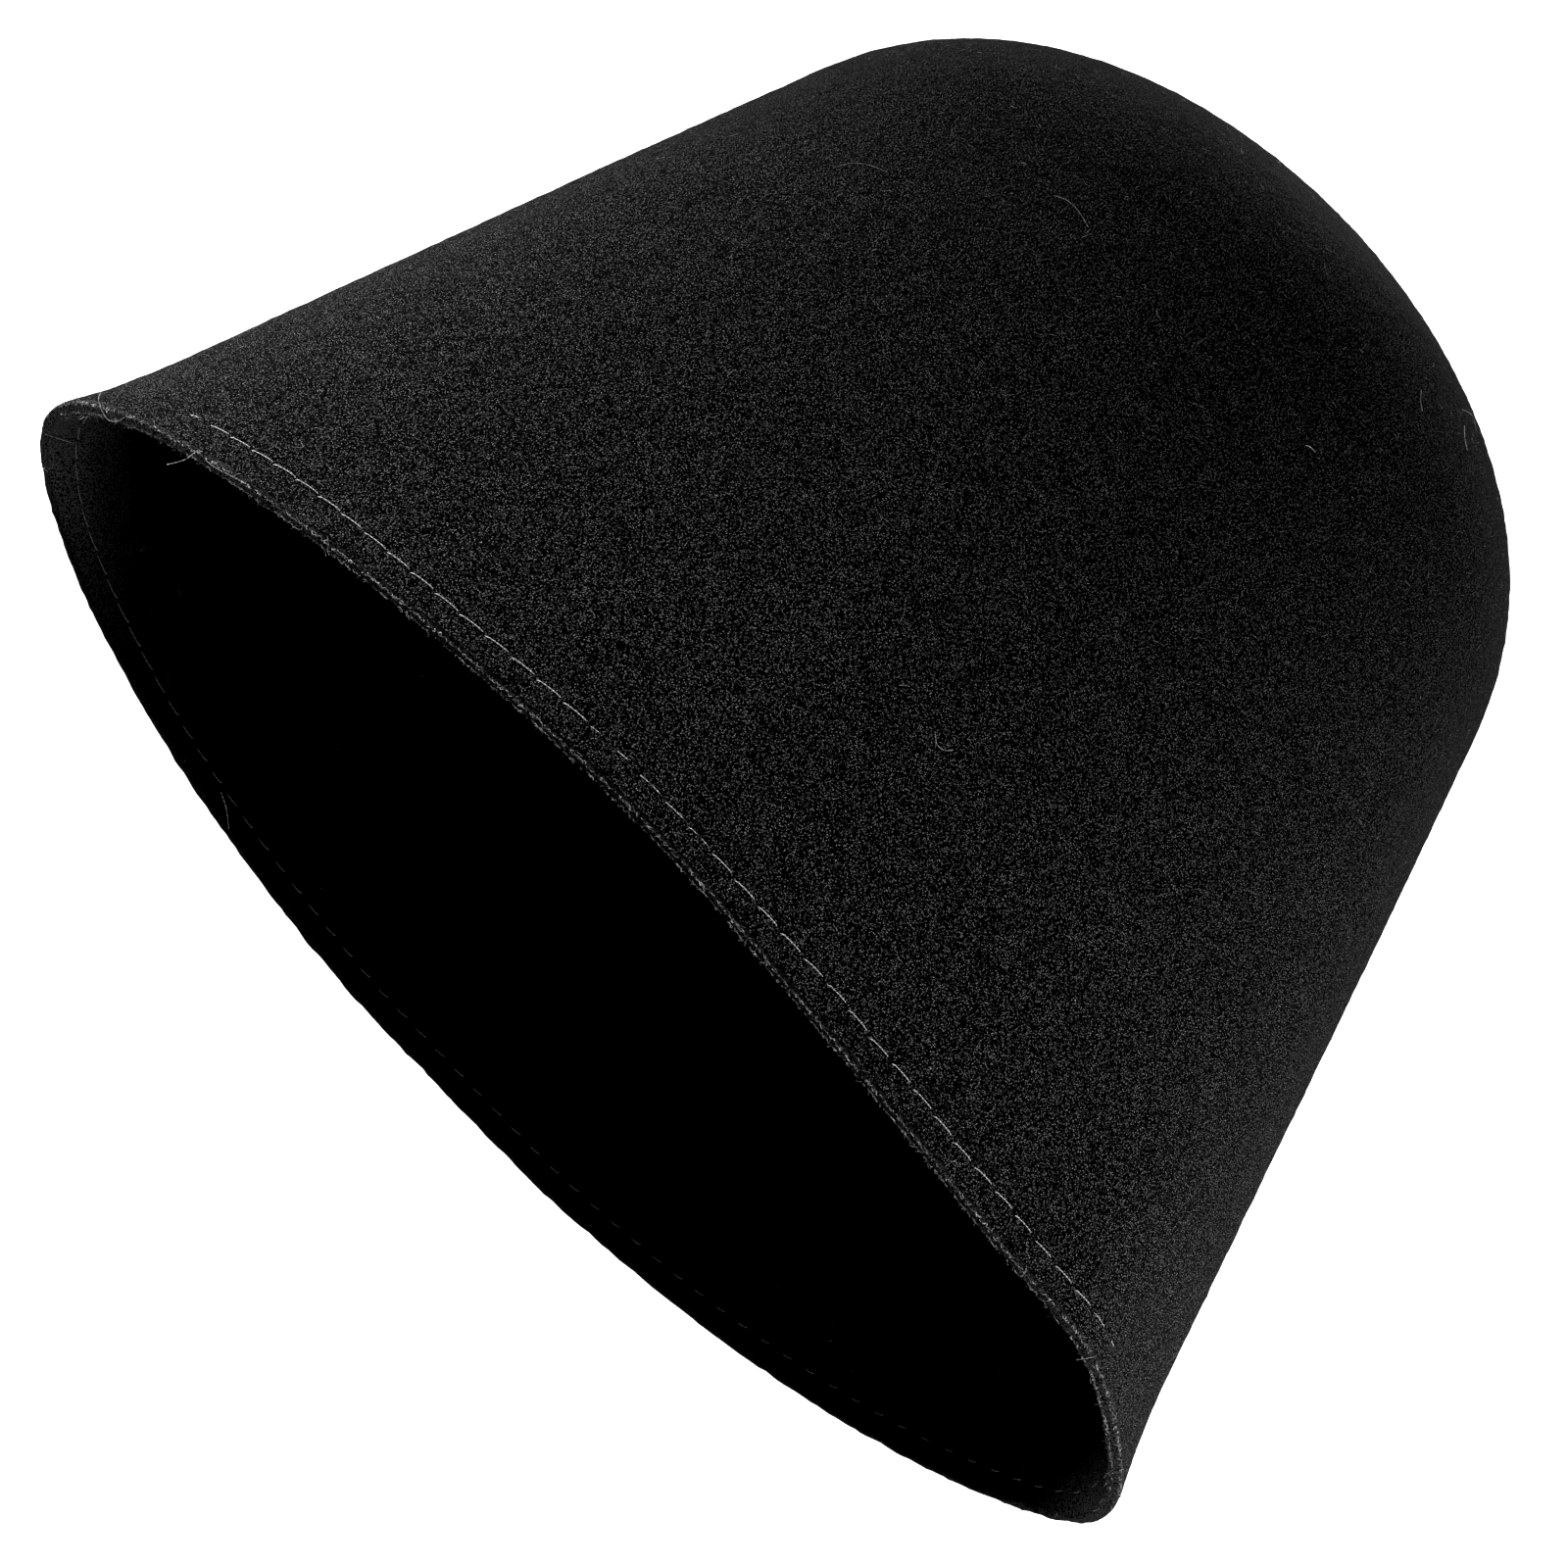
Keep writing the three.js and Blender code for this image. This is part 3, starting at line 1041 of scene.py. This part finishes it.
@dataclass
class StitchRow:
    """One face's row of machine stitches, a little above the cut edge."""

    bell: FeltBell
    side: WallSide
    pitch: float = 5.93
    shown: float = 5.3
    thread: float = 0.165
    lift: float = 0.02
    dip: float = 0.5
    slant: float = 0.068
    hook: float = 0.3
    bow: float = 0.13
    sway: float = 0.02
    sunk: tuple[SunkStretch, ...] = (
        SunkStretch(-1.69, 0.19, 0.21),
        SunkStretch(0.0, 0.43, 2.0),
        SunkStretch(math.pi, 0.38, 1.8),
    )
    stretches: tuple[tuple[float, float], ...] = ((-2.6, 1.12), (-1.9, 1.1), (-1.4, 1.0), (1.0, 1.0))
    uneven: float = 0.06
    uneven_size: float = 4.0
    seed: int = 11
    path_steps: int = 1440
    OUT = "outward"
    LAY = "lay"
    SUNK = "sunk"
    STRETCH = "stretch"

    def sunk_at(self, turn: Array, points: Array) -> Array:
        """How deep the row lies in the felt, in millimetres."""
        depth = self.uneven * FeltBell.field(points / (self.uneven_size * MILLI))
        for stretch in self.sunk:
            away = np.abs(short_way(turn, stretch.middle) / stretch.width)
            depth = depth + stretch.depth * np.exp(-(away**stretch.power))
        return depth

    def path(self) -> Thing:
        """Builds the closed line that the stitches follow, with its outward direction and its depth."""
        turn = np.arange(self.path_steps) * FULL_TURN / self.path_steps
        level = self.bell.line.level_at(turn)
        surface = self.bell.surface
        depth, way = (surface.shape.wall, -1.0) if self.side is WallSide.INSIDE else (0.0, 1.0)
        points = self.bell.slipped(surface.point(level, turn, depth), level, turn)
        edges = [(step, (step + 1) % self.path_steps) for step in range(self.path_steps)]
        marks = {
            self.OUT: surface.normal(level, turn) * way,
            self.SUNK: self.sunk_at(turn, points) * MILLI,
            self.STRETCH: np.interp(turn, *zip(*self.stretches), period=FULL_TURN),
        }
        return line_object(f"stitch_line_{self.side.value}", points, edges, marks)

    def rim_length(self) -> float:
        """Length of the outside row in millimetres, which sets the number of holes in both rows."""
        turn = np.linspace(0.0, FULL_TURN, self.path_steps + 1)
        points = self.bell.surface.point(self.bell.line.level_at(turn), turn) / MILLI
        return float(np.linalg.norm(np.diff(points, axis=0), axis=1).sum())

    def build(self, tree: Tree, spun: Material) -> Thing:
        """Lays the stitches along the line, as one mesh.

        Args:
            tree: The stitch tree.
            spun: The thread's material.

        Returns:
            The row.
        """
        values = {
            "Stitches": round(self.rim_length() / self.pitch),
            "Shown Length": self.shown * MILLI,
            "Thread Radius": self.thread / 2.0 * MILLI,
            "Lift": self.lift * MILLI,
            "Dip": self.dip * MILLI,
            "Slant": self.slant,
            "Hook": self.hook * MILLI,
            "Bow": self.bow * MILLI,
            "Sway": self.sway,
            "Seed": self.seed,
            "Material": spun,
        }
        return grow(self.path(), tree, values, f"stitches_{self.side.value}")


class FibreTree:
    """Geometry node tree that scatters fine bent fibres over a mesh."""

    PLAN = GroupPlan(
        "wool_fibres",
        TreeKind.GEOMETRY,
        {
            SocketKind.GEOMETRY: ("Geometry",),
            SocketKind.WORD: ("Where",),
            SocketKind.FLOAT: ("Density", "Length", "Radius", "Lift", "Spread", "Tilt", "Curl Size", "Curl"),
            SocketKind.WHOLE: ("Seed",),
            SocketKind.MATERIAL: ("Material",),
        },
    )
    TONE = "tone"
    SIDES = 3
    JOINTS = 4
    SHORTEST = 0.4
    LONGEST = 1.4
    CURL_DETAIL = 1.0
    FLOOR = (-1.0, -1.0, 0.0)

    def build(self) -> Tree:
        """Builds the tree once, for every coat of fibres."""
        graph, given, made = self.PLAN.start()
        density = graph.math("MULTIPLY", given["Density"], graph.named(given["Where"]))
        inputs = {"Mesh": given["Geometry"], "Density": density, "Seed": given["Seed"]}
        roots = graph.add("GeometryNodeDistributePointsOnFaces", inputs, distribute_method="RANDOM").outputs
        seeds = [graph.math("ADD", given["Seed"], float(offset)) for offset in (1, 2, 3, 4)]
        facing = graph.facing(roots["Normal"], graph.named(FeltBell.ALONG, "FLOAT_VECTOR"))
        facing = graph.spun(facing, (0.0, 0.0, 1.0), graph.either_way(given["Spread"], seeds[0]))
        facing = graph.spun(facing, (0.0, 1.0, 0.0), graph.either_way(given["Tilt"], seeds[1]))
        stretch = graph.random(self.SHORTEST, self.LONGEST, seeds[2])
        laid = graph.laid(roots["Points"], self.fibre(graph, given), facing, stretch, given["Lift"])
        toned = graph.keep(laid, self.TONE, graph.random(0.0, 1.0, seeds[3]), "FLOAT", "INSTANCE")
        return graph.finish(self.curl(graph, given, graph.solid(toned)), given, made)

    def fibre(self, graph: GeometryGraph, given: dict[str, Socket]) -> Socket:
        """Adds one straight fibre, a thin closed tube with a few joints."""
        half = graph.math("MULTIPLY", given["Length"], 0.5)
        start = graph.combine(X=graph.math("MULTIPLY", half, -1.0))
        steps = graph.steps(graph.line(start, graph.combine(X=half)), "COUNT", self.JOINTS)
        return graph.tube(steps, self.SIDES, given["Radius"])

    def curl(self, graph: GeometryGraph, given: dict[str, Socket], fibres: Socket) -> Socket:
        """Bends the fibres by smooth noise in space, and keeps them above what the hat lies on."""
        scale = graph.math("DIVIDE", 1.0, given["Curl Size"])
        crooked = graph.bent(graph.here(), scale, self.CURL_DETAIL, given["Curl"])
        return graph.moved(fibres, graph.vector("MAXIMUM", crooked, self.FLOOR))


@dataclass
class FibreCoat:
    """A coat of loose fibres that lie on the felt or stand out of its cut edge. Sizes in millimetres."""

    name: str
    where: str
    density: float
    length: float
    thickness: float
    lift: float
    spread: float
    tilt: float
    curl_size: float
    curl: float
    seed: int

    def build(
        self, wall: Thing, tree: Tree, fibre: Material
    ) -> Thing:
        """Scatters the fibres over a copy of the felt wall, as one mesh.

        Args:
            wall: The finished felt wall.
            tree: The fibre tree.
            fibre: The fibres' material.

        Returns:
            The fibres.
        """
        host = put_in_scene(self.name + "_ground", wall.data.copy())
        values = {
            "Where": self.where,
            "Density": self.density,
            "Length": self.length * MILLI,
            "Radius": self.thickness / 2.0 * MILLI,
            "Lift": self.lift * MILLI,
            "Spread": self.spread,
            "Tilt": self.tilt,
            "Curl Size": self.curl_size * MILLI,
            "Curl": self.curl * MILLI,
            "Seed": self.seed,
            "Material": fibre,
        }
        return grow(host, tree, values, self.name)


class HairTree:
    """Geometry node tree that turns crooked lines into fine round hairs."""

    PLAN = GroupPlan(
        "stray_hairs",
        TreeKind.GEOMETRY,
        {
            SocketKind.GEOMETRY: ("Geometry",),
            SocketKind.FLOAT: ("Radius", "Step"),
            SocketKind.MATERIAL: ("Material",),
        },
    )
    SIDES = 5

    def build(self) -> Tree:
        """Builds the tree once, for the hairs and the strands."""
        graph, given, made = self.PLAN.start()
        inputs = {"Curve": graph.curve(given["Geometry"])}
        smooth = graph.take("GeometryNodeCurveSplineType", "Curve", inputs, spline_type="CATMULL_ROM")
        steps = graph.steps(smooth, "LENGTH", given["Step"])
        tube = graph.tube(steps, self.SIDES, given["Radius"])
        return graph.finish(graph.solid(tube), given, made)


@dataclass
class Strands:
    """Single strands of wool that are drawn one by one. Sizes in millimetres."""

    bell: FeltBell
    name: str
    thickness: float
    step: float

    def lines(self) -> list[Line]:
        """Each line's places in metres, how light it is at each, and whether the strand is whole there."""
        raise NotImplementedError

    def build(self, tree: Tree, fibre: Material) -> Thing:
        """Turns the lines into round strands, as one mesh.

        Args:
            tree: The hair tree.
            fibre: The strands' material.

        Returns:
            The strands.
        """
        lines = self.lines()
        edges: list[tuple[int, int]] = []
        start = 0
        for points, _, whole in lines:
            edges += [(start + k, start + k + 1) for k in range(len(points) - 1) if whole[k] and whole[k + 1]]
            start += len(points)
        places, tones = (np.concatenate([line[part] for line in lines]) for part in (0, 1))
        host = line_object(self.name + "_lines", places, edges, {FibreTree.TONE: tones})
        values = {"Radius": self.thickness / 2.0 * MILLI, "Step": self.step * MILLI, "Material": fibre}
        return grow(host, tree, values, self.name)


@dataclass(frozen=True)
class Hair:
    """One stray hair: its places on the felt as level, turn and height over the outer face, and its tone."""

    places: tuple[Place, ...]
    tone: float = 0.6


@dataclass
class StrayHairs(Strands):
    """The few longer hairs that have worked loose from the felt."""

    name: str = "stray_hairs"
    thickness: float = 0.09
    step: float = 0.35
    hairs: tuple[Hair, ...] = (
        Hair(
            (
                *((6.8, -2.896, 0.1), (1.1, -2.765, 0.5), (-1.5, -2.697, 0.5)),
                *((-1.9, -2.658, 0.3), (-0.2, -2.652, 0.0)),
            ),
            0.5,
        ),
        Hair(
            (
                *((-4.8, -2.477, 0.4), (-3.2, -2.476, 0.8), (-1.1, -2.472, 0.8)),
                *((0.5, -2.466, 0.3), (1.4, -2.462, 0.0)),
            ),
            1.0,
        ),
        Hair(
            (
                *((0.6, -2.444, 0.0), (-0.1, -2.435, 0.3), (-0.4, -2.41, 0.4)),
                *((0.0, -2.388, 0.3), (0.6, -2.361, 0.0)),
            )
        ),
        Hair(((0.2, 3.161, -2.9), (2.6, 3.112, -3.3), (5.9, 3.051, -3.1)), 0.7),
        Hair(((3.7, 2.185, -3.1), (2.6, 2.158, -3.4), (0.6, 2.126, -3.1)), 0.7),
        Hair(((1.8, -1.039, 0.1), (3.4, -1.034, 0.4), (3.5, -1.024, 0.1))),
        Hair(((53.0, -1.44, 0.1), (51.4, -1.426, 0.4), (51.8, -1.412, 0.4), (53.3, -1.404, 0.1))),
        Hair(((22.7, -1.899, 0.1), (22.5, -1.893, 0.3), (22.1, -1.888, 0.1)), 0.7),
        Hair(((193.7, -1.187, 0.1), (191.1, -1.178, 0.4), (190.0, -1.159, 0.1)), 0.45),
        Hair(((205.5, -1.042, 0.1), (208.4, -0.996, 0.5), (207.7, -0.959, 0.1)), 0.45),
        Hair(((202.1, -1.025, 0.1), (198.7, -1.018, 0.4), (197.9, -0.993, 0.1)), 0.7),
        Hair(((158.7, -1.311, 0.1), (159.2, -1.303, 0.3), (159.6, -1.288, 0.1)), 0.7),
        Hair(((160.3, -1.966, 0.1), (161.0, -1.941, 0.4), (160.5, -1.909, 0.4), (159.0, -1.874, 0.1)), 0.3),
        Hair(((136.7, -2.304, 0.1), (139.9, -2.289, 0.3), (141.7, -2.258, 0.3), (142.4, -2.221, 0.1)), 0.35),
        Hair(((14.4, -2.386, 0.1), (13.6, -2.372, 0.35), (12.6, -2.385, 0.1)), 0.4),
        Hair(((-2.6, -0.69, 0.3), (-0.8, -0.672, 0.4), (1.2, -0.655, 0.0)), 0.5),
    )

    def lines(self) -> list[Line]:
        """The hairs, each whole and of one tone."""
        lines: list[Line] = []
        for hair in self.hairs:
            level, turn, height = np.array(hair.places).T
            whole = np.ones_like(level)
            lines.append((self.bell.surface.point(level, turn, -height), hair.tone * whole, whole))
        return lines


@dataclass
class EdgeStrands(Strands):
    """Thin crooked strands of wool that run along both arrises of the cut edge.

    They wander, break off and change tone with the same noise, read at shifted places.
    """

    name: str = "edge_strands"
    thickness: float = 0.12
    step: float = 0.22
    spacing: float = 0.2
    turns: tuple[float, float] = (-2.96, -0.22)
    turn_steps: int = 4000
    depths: tuple[float, ...] = (0.15, 0.35, 0.5, 1.95, 2.1, 2.25)
    wander: float = 0.5
    wander_size: float = 0.5
    gap_size: float = 0.9
    gap_below: float = 0.0
    # With the edge fibre finish, these tones give painted highlight along the upper cut edge.
    tones: tuple[float, float] = (0.35, 1.0)
    middle_tone: float = 0.5
    strand_shift: float = 7.3
    depth_shift: float = 31.7
    gap_shift: float = 63.1
    tone_shift: float = 12.9

    def lines(self) -> list[Line]:
        """The strands, broken where the noise is low."""
        fine = np.linspace(*self.turns, self.turn_steps)
        surface, trim = self.bell.surface, self.bell.trim
        run = np.linalg.norm(np.diff(surface.point(trim, fine) / MILLI, axis=0), axis=1)
        along = np.concatenate([[0.0], np.cumsum(run)])
        stops = np.arange(0.0, along[-1], self.spacing)
        turn = np.interp(stops, along, fine)
        lines: list[Line] = []
        for strand, depth in enumerate(self.depths):
            shifted = np.full_like(stops, self.strand_shift * strand)
            places = np.stack([stops, shifted, np.zeros_like(stops)], -1)
            level = trim + FeltBell.field(places / self.wander_size) * self.wander
            sunk = FeltBell.field((places + self.depth_shift) / self.wander_size) * self.wander
            whole = FeltBell.field((places + self.gap_shift) / self.gap_size) > self.gap_below
            tone = self.middle_tone + FeltBell.field((places + self.tone_shift) / self.gap_size)
            points = self.bell.slipped(surface.point(level, turn, depth + sunk), level, turn)
            lines.append((points, np.clip(tone, *self.tones), whole))
        return lines


@dataclass(frozen=True)
class HatCamera:
    """The camera at the photographed angle, looking down at the lying hat with a turned frame."""

    target: Place = (0.003389, -0.042484, 0.054382)
    elevation: float = 1.0990783
    roll: float = 0.7920110
    distance: float = 0.6223016
    lens: float = 68.569
    sensor: float = 36.0
    clip: tuple[float, float] = (0.01, 20.0)

    def build(self) -> None:
        """Makes the camera and lets the scene use it."""
        forward = Vector((0.0, math.cos(self.elevation), -math.sin(self.elevation)))
        level_right = Vector((1.0, 0.0, 0.0))
        level_up = level_right.cross(forward)
        right = math.cos(self.roll) * level_right + math.sin(self.roll) * level_up
        up = -math.sin(self.roll) * level_right + math.cos(self.roll) * level_up
        data = bpy.data.cameras.new("hat_camera")
        data.lens = self.lens
        data.sensor_width = self.sensor
        data.clip_start, data.clip_end = self.clip
        camera = put_in_scene("hat_camera", data)
        turn = Matrix((right, up, -forward)).transposed().to_4x4()
        camera.matrix_world = Matrix.Translation(Vector(self.target) - forward * self.distance) @ turn
        bpy.context.scene.camera = camera


@dataclass(frozen=True)
class SoftLight:
    """One square area light that faces the hat."""

    name: str
    place: Place
    width: float
    height: float
    power: float
    target: Place = (0.0, 0.0, 0.08)

    def build(self) -> None:
        """Makes the light."""
        data = bpy.data.lights.new(self.name, "AREA")
        data.shape = "RECTANGLE"
        data.size, data.size_y = self.width, self.height
        data.energy = self.power
        light = put_in_scene(self.name, data)
        light.visible_camera = False
        light.location = self.place
        light.rotation_euler = (Vector(self.target) - Vector(self.place)).to_track_quat("-Z", "Y").to_euler()


@dataclass
class Studio:
    """A plain pale floor and plain soft light."""

    floor_half: float = 4.0
    floor_gap: float = 0.0002
    floor_colour: Colour = grey(0.9)
    floor_glow: float = 0.9
    backdrop: float = 1.0
    black_level: float = 0.0026
    lights: list[SoftLight] = field(
        default_factory=lambda: [
            SoftLight("left_strip", (-1.284, 0.532, 0.171), 0.6, 0.22, 60.0),
            SoftLight("crown_strip", (0.0, 1.39, 0.171), 0.6, 0.22, 39.0),
            SoftLight("right_panel", (1.279, 0.0, 0.569), 0.6, 0.5, 18.5),
            SoftLight("right_strip", (1.284, 0.532, 0.171), 0.6, 0.22, 9.0),
            SoftLight("top_panel", (0.0, -0.15, 0.75), 0.3, 0.2, 1.1),
            SoftLight("front_panel", (0.0, -0.45, 0.5), 0.3, 0.2, 1.7),
        ]
    )

    def build(self) -> None:
        """Makes the floor, the lights and the pale surroundings."""
        half, low = self.floor_half, -self.floor_gap
        corners = np.array([(-half, -half, low), (half, -half, low), (half, half, low), (-half, half, low)])
        floor = mesh_object("floor", corners, [(0, 1, 2, 3)])
        material, graph, shader = start_material("pale_floor")
        inputs = {
            "Emission Strength": self.seen_only(graph, self.floor_glow),
            "Emission Color": WHITE,
            "Base Color": self.floor_colour,
            "Roughness": 1.0,
            "Specular IOR Level": 0.0,
        }
        graph.feed(shader, inputs)
        floor.data.materials.append(material)
        for light in self.lights:
            light.build()
        self.surroundings()
        view = bpy.context.scene.view_settings
        view.view_transform = "Standard"
        view.use_curve_mapping = True
        view.curve_mapping.black_level = grey(self.black_level)

    @staticmethod
    def seen_only(graph: Graph, strength: float) -> Socket:
        """A strength that the camera sees and the hat doesn't."""
        return graph.math("MULTIPLY", graph.take("ShaderNodeLightPath", "Is Camera Ray"), strength)

    def surroundings(self) -> None:
        """Gives a pale backdrop to the eye and no light to the hat."""
        world = bpy.data.worlds.new("studio")
        world.use_nodes = True
        world.node_tree.nodes.clear()
        graph = Graph(world.node_tree)
        inputs = {"Color": WHITE, "Strength": self.seen_only(graph, self.backdrop)}
        glow = graph.take("ShaderNodeBackground", "Background", inputs)
        graph.add("ShaderNodeOutputWorld", {"Surface": glow})
        bpy.context.scene.world = world


def main() -> None:
    """Builds the camera, the studio and the hat, in that order."""
    logging.basicConfig(level=logging.INFO, format="%(name)s: %(message)s")
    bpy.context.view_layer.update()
    HatCamera().build()
    Studio().build()

    flecks = FleckGroup().build()
    felt = FeltFinish().material(flecks)
    # A darker copy of the felt with less sheen, for the inner face and the cut edge: painted shade.
    lining_painted_shade = FeltFinish(name="inner_felt_painted_shade", dark=grey(0.0008), sharpness=1.0, sheen=0.012).material(flecks)
    thread = ThreadFinish().material()
    # The same thread made darker for the row inside the hollow: painted shade.
    inner_thread_painted_shade = ThreadFinish(name="inner_thread_painted_shade", dark=grey(0.01), light=grey(0.055)).material()
    fibre = FibreFinish().material(flecks)
    # Lighter copies of the dark loose fibre for the edge fuzz, strands and hairs: painted highlight where they
    # catch the light.
    fuzz = FibreFinish(name="fuzz_fibre_painted_highlight", light=grey(0.8), tone_power=1.8).material(flecks)
    edge_fibre_painted_highlight = FibreFinish(name="edge_fibre_painted_highlight", light=grey(0.8), tone_power=1.5).material(flecks)

    bell = FeltBell(BellSurface(BellShape(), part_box(NODE)), StitchLine())
    wall = bell.build()
    stitch_tree = StitchTree().build()
    rows = [
        StitchRow(bell, WallSide.OUTSIDE),
        StitchRow(
            bell,
            WallSide.INSIDE,
            shown=3.4,
            sunk=(
                SunkStretch(1.11, 0.74, 0.21, 12.0),
                SunkStretch(2.33, 0.12, 0.12),
                SunkStretch(-1.57, 0.9, 0.1),
            ),
            stretches=((0.0, 0.6), (0.5, 0.6), (1.4, 0.9), (2.2, 1.0), (2.5, 1.55), (3.6, 1.55), (4.5, 1.0)),
            seed=12,
        ),
    ]
    for row, spun in zip(rows, (thread, inner_thread_painted_shade)):
        hand_over(row.build(stitch_tree, spun), Slot.THREAD)
    fibre_tree = FibreTree().build()
    coats = [
        FibreCoat("surface_fibres", FeltBell.COAT, 60000.0, 1.5, 0.05, 0.02, math.pi, 0.25, 1.6, 0.5, 21),
        FibreCoat("edge_fuzz", FeltBell.ARRIS, 3000000.0, 1.8, 0.06, 0.05, 1.2, 1.1, 1.0, 0.9, 22),
    ]
    for coat, wool in zip(coats, (fibre, fuzz)):
        hand_over(coat.build(wall, fibre_tree, wool), Slot.FIBRE)
    hair_tree = HairTree().build()
    for strands in (StrayHairs(bell), EdgeStrands(bell)):
        hand_over(strands.build(hair_tree, edge_fibre_painted_highlight), Slot.FIBRE)
    bell.dress(wall, (felt, lining_painted_shade))


if __name__ == "__main__":
    main()
